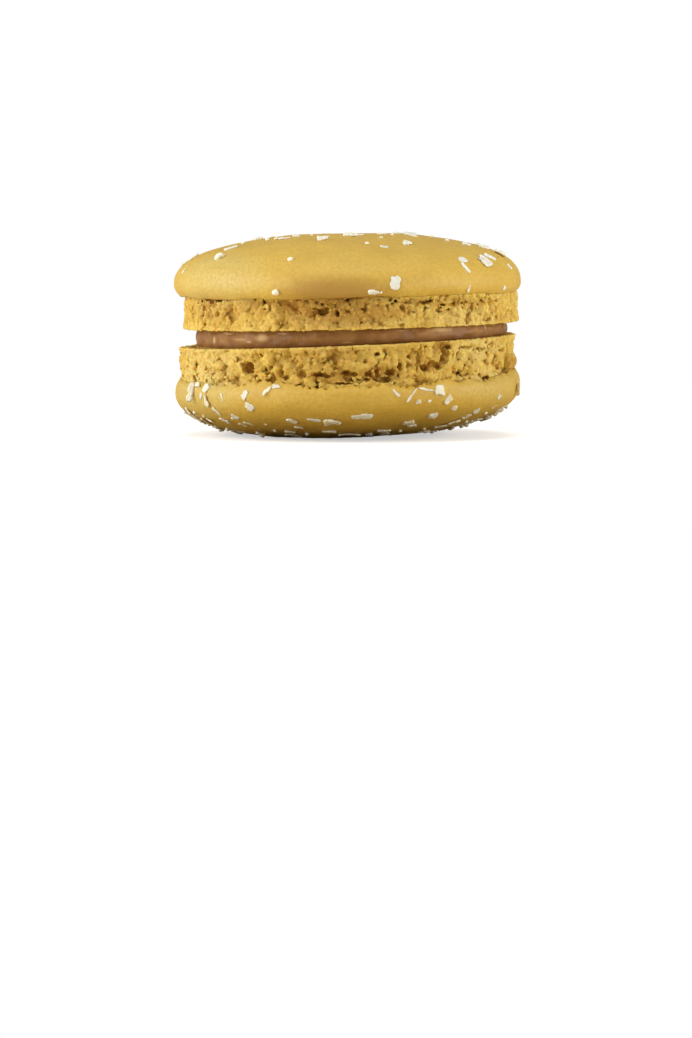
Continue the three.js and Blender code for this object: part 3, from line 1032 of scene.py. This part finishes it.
def foam_material(mottle, holes, patches):
    made, tree, shader, point = material("baked_foam")
    out = point.vector("MULTIPLY", (1, 1, 0)).length()
    depth = -out + FOOT_RADIUS + point.cloud(0.8) * 0.3
    tone = mottle.used_in(tree, {"Point": point, "Patch Size": 1.6, "Grain Size": 0.4})
    pores = holes.used_in(tree, {"Point": point, "Spacing": 0.55, "Width": 0.18, "Share": 0.35})
    patch = patches.used_in(tree, {"Point": point})
    colour = mix_colour(tree, tone["Patches"], (0.60, 0.375, 0.060, 1), (0.80, 0.58, 0.14, 1))
    # Painted light: brighter foam on the left and right of the feet and painted highlights along their edges.
    colour = mix_colour(tree, patch["Painted Light"] * 0.8, colour, (0.80, 0.64, 0.24, 1))
    colour = mix_colour(tree, tone["Grain"] * 0.45, colour, (0.50, 0.29, 0.04, 1))
    # Brown stains, and painted shade along the crease and over the middle of the feet.
    colour = mix_colour(tree, patch["Stain And Shade"], colour, (0.38, 0.19, 0.025, 1))
    # Painted shade: darker towards the hollows of the foam.
    colour = mix_colour(tree, depth.ramp(0.4, 1.6), colour, (0.42, 0.20, 0.022, 1))
    bulge = Field(tree, tree.nodes.new("ShaderNodeNewGeometry").outputs["Pointiness"])
    # Painted shade in the creases between the lumps, where the surface curves in.
    colour = mix_colour(tree, bulge.ramp(0.5, 0.40, 0.0, 0.6), colour, (0.42, 0.20, 0.022, 1))
    # Painted highlight on the tops of the lumps, where the surface curves out.
    colour = mix_colour(tree, bulge.ramp(0.52, 0.62, 0.0, 0.4), colour, (0.82, 0.61, 0.16, 1))
    colour = mix_colour(tree, pores["Hole"] * 0.5, colour, (0.30, 0.145, 0.015, 1))
    plug(tree, shader.inputs["Base Color"], colour)
    shader.inputs["Roughness"].default_value = 0.75
    soften(shader, 0.5, (1.0, 0.5, 0.1), 1.1)
    shader.inputs["Specular IOR Level"].default_value = 0.3
    bump(tree, shader, tone["Relief"] - pores["Hole"] * 0.4, 0.16, 0.8)
    return made


# Pale smears in the ganache, and painted glints near its top, in the same way as the stains.
SMEARS_AND_PAINTED_GLINTS = (
    (254, 338, 1.4, 0.8, 0.9), (446, 330, 2.6, 0.45, 0.7), (202, 341, 0.5, 0.8, 0.8),
    (216, 334, 1.6, 0.25, 0.9), (351, 330, 1.8, 0.25, 0.8), (347, 343, 1.2, 0.16, 0.7),
    (491, 326, 0.35, 0.7, 0.7), (277, 334, 1.2, 0.2, 0.5), (405, 331, 1.6, 0.2, 0.4),
    (230, 340, 2.0, 0.3, 0.4), (241, 342.5, 0.6, 0.2, 0.6),
)


def ganache_material(mottle):
    made, tree, shader, point = material("ganache")
    tone = mottle.used_in(tree, {"Point": point, "Patch Size": 2.5, "Grain Size": 0.5})
    streaks = point.vector("DIVIDE", (1, 1, 3)).cloud(0.35, detail=2.0)
    colour = mix_colour(tree, tone["Patches"], (0.25, 0.112, 0.028, 1), (0.37, 0.178, 0.050, 1))
    # Lighter upright streaks: smeared marks, and partly a painted highlight.
    colour = mix_colour(tree, streaks.ramp(0.05, 0.3) * 0.3, colour, (0.55, 0.32, 0.12, 1))
    # Pale smears, and painted glints near the top.
    smeared = point.stirred(0.5, 0.12, detail=2.0)
    pale = covered(smeared, SMEARS_AND_PAINTED_GLINTS, Vector((0, 0, 0)))
    colour = mix_colour(tree, pale, colour, (0.70, 0.48, 0.21, 1))
    # Painted shade: darker towards the bottom, in the recess above the lower foot.
    x, _, z = point.parts()
    above_floor = z - FILLING_FLOOR - x * FLOOR_SLOPE
    colour = mix_colour(tree, above_floor.ramp(1.1, 0.1, 0.0, 0.6), colour, (0.15, 0.058, 0.013, 1))
    plug(tree, shader.inputs["Base Color"], colour)
    plug(tree, shader.inputs["Roughness"], streaks.ramp(-0.3, 0.3, 0.34, 0.55))
    soften(shader, 0.1, (1.0, 0.4, 0.2), 0.5)
    shader.inputs["Specular IOR Level"].default_value = 0.25
    shader.inputs["Coat Weight"].default_value = 0.03
    shader.inputs["Coat Roughness"].default_value = 0.2
    bump(tree, shader, streaks * 0.7 + tone["Grain"] * 0.3, 0.09, 0.7)
    return made


def flake_material(mottle):
    made, tree, shader, point = material("dry_flake")
    tone = tree.nodes.new("ShaderNodeAttribute")
    tone.attribute_name = "tone"
    white = Field(tree, tone.outputs["Fac"])
    grain = mottle.used_in(tree, {"Point": point, "Patch Size": 0.9, "Grain Size": 0.2})
    colour = mix_colour(tree, white, (0.86, 0.71, 0.42, 1), (0.94, 0.90, 0.76, 1))
    colour = mix_colour(tree, grain["Patches"] * 0.25, colour, (0.78, 0.60, 0.32, 1))
    plug(tree, shader.inputs["Base Color"], colour)
    shader.inputs["Roughness"].default_value = 0.5
    soften(shader, 0.5, (1.0, 0.8, 0.5), 0.7)
    bump(tree, shader, grain["Relief"], 0.03, 0.5)
    return made


# Studio

WORLD_LIGHT = 0.28
FLOOR_RADIUS = 0.2
FLOOR_GLOW = 0.5

# Name, azimuth and elevation in degrees, distance and size in metres, and power in watts.
LIGHTS = (
    ("left_softbox", -70, 12, 0.55, 0.55, 3.6),
    ("left_rim_light", -118, 8, 0.55, 0.50, 0.25),
    ("right_softbox", 70, 3, 0.55, 0.55, 3.4),
    ("top_softbox", 0, 84, 0.60, 0.50, 1.6),
)


def add_area_light(name, azimuth, elevation, distance, size, power):
    data = bpy.data.lights.new(name, "AREA")
    data.shape = "SQUARE"
    data.size = size
    data.energy = power
    light = link(bpy.data.objects.new(name, data))
    turn = Matrix.Rotation(math.radians(azimuth), 4, "Z") @ Matrix.Rotation(math.radians(90 - elevation), 4, "X")
    light.matrix_world = Matrix.Translation((0, 0, 0.014)) @ turn @ Matrix.Translation((0, 0, distance))


def add_world():
    """Pure white where the camera sees it, and soft light for everything else."""
    world = bpy.data.worlds.new("studio")
    bpy.context.scene.world = world
    world.use_nodes = True
    tree = world.node_tree
    path = tree.nodes.new("ShaderNodeLightPath")
    background = tree.nodes["Background"]
    background.inputs["Color"].default_value = (1, 1, 1, 1)
    seen_share = Field(tree, path.outputs["Is Camera Ray"])
    plug(tree, background.inputs["Strength"], seen_share * (1 - WORLD_LIGHT) + WORLD_LIGHT)


def add_floor():
    """A white disc that fades out into the white background and throws warm light up."""
    shape = bmesh.new()
    bmesh.ops.create_circle(shape, cap_ends=True, segments=128, radius=FLOOR_RADIUS)
    bmesh.ops.translate(shape, verts=shape.verts, vec=(0, 0, -0.02 * MM))
    mesh = bpy.data.meshes.new("floor")
    shape.to_mesh(mesh)
    shape.free()
    floor = link(bpy.data.objects.new("floor", mesh))
    made = bpy.data.materials.new("floor")
    made.use_nodes = True
    tree = made.node_tree
    tree.nodes.remove(tree.nodes["Principled BSDF"])
    output = tree.nodes["Material Output"]
    path = tree.nodes.new("ShaderNodeLightPath")
    seen_share = Field(tree, path.outputs["Is Camera Ray"])
    away = Field(tree, tree.nodes.new("ShaderNodeTexCoord").outputs["Object"]).length()
    bounce = mix_colour(tree, away.ramp(0.016, 0.04), (0.42, 0.34, 0.20, 1), (0.88, 0.80, 0.60, 1))
    white = tree.nodes.new("ShaderNodeBsdfDiffuse")
    plug(tree, white.inputs["Color"], mix_colour(tree, seen_share, bounce, (0.9, 0.9, 0.9, 1)))
    glow = tree.nodes.new("ShaderNodeEmission")
    plug(tree, glow.inputs["Strength"], seen_share * FLOOR_GLOW)
    both = tree.nodes.new("ShaderNodeAddShader")
    tree.links.new(white.outputs[0], both.inputs[0])
    tree.links.new(glow.outputs[0], both.inputs[1])
    clear = tree.nodes.new("ShaderNodeBsdfTransparent")
    fade = tree.nodes.new("ShaderNodeMixShader")
    plug(tree, fade.inputs["Fac"], away.ramp(0.35 * FLOOR_RADIUS, 0.98 * FLOOR_RADIUS))
    tree.links.new(both.outputs[0], fade.inputs[1])
    tree.links.new(clear.outputs[0], fade.inputs[2])
    tree.links.new(fade.outputs[0], output.inputs["Surface"])
    mesh.materials.append(made)


add_camera()
add_world()
add_floor()
for light_values in LIGHTS:
    add_area_light(*light_values)
bpy.context.scene.view_settings.view_transform = "Standard"

mottle = baked_mottle()
holes = pin_holes()
patches = stain_shade_and_light_patches()
skin = skin_material(mottle, holes, patches)
sponge = foam_material(mottle, holes, patches)
dry = flake_material(mottle)

upper_cap = cap_shape(UPPER)
lower_cap = cap_shape(LOWER)
flakes = flake_pieces(BVHTree.FromBMesh(upper_cap), BVHTree.FromBMesh(lower_cap))
solids = (
    (finished("upper_cap", upper_cap), skin, "upper_shell"),
    (finished("lower_cap", lower_cap), skin, "lower_shell"),
    (foot("upper_foot", UPPER), sponge, "upper_shell"),
    (foot("lower_foot", LOWER), sponge, "lower_shell"),
    (filling_piece("ganache_disc"), ganache_material(mottle), "filling"),
)
for piece, look, node in solids:
    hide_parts(node)
for piece, look, slot in (*solids, *((piece, dry, "flakes") for piece in flakes)):
    piece.data.materials.clear()
    piece.data.materials.append(look)
    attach(piece, "root")
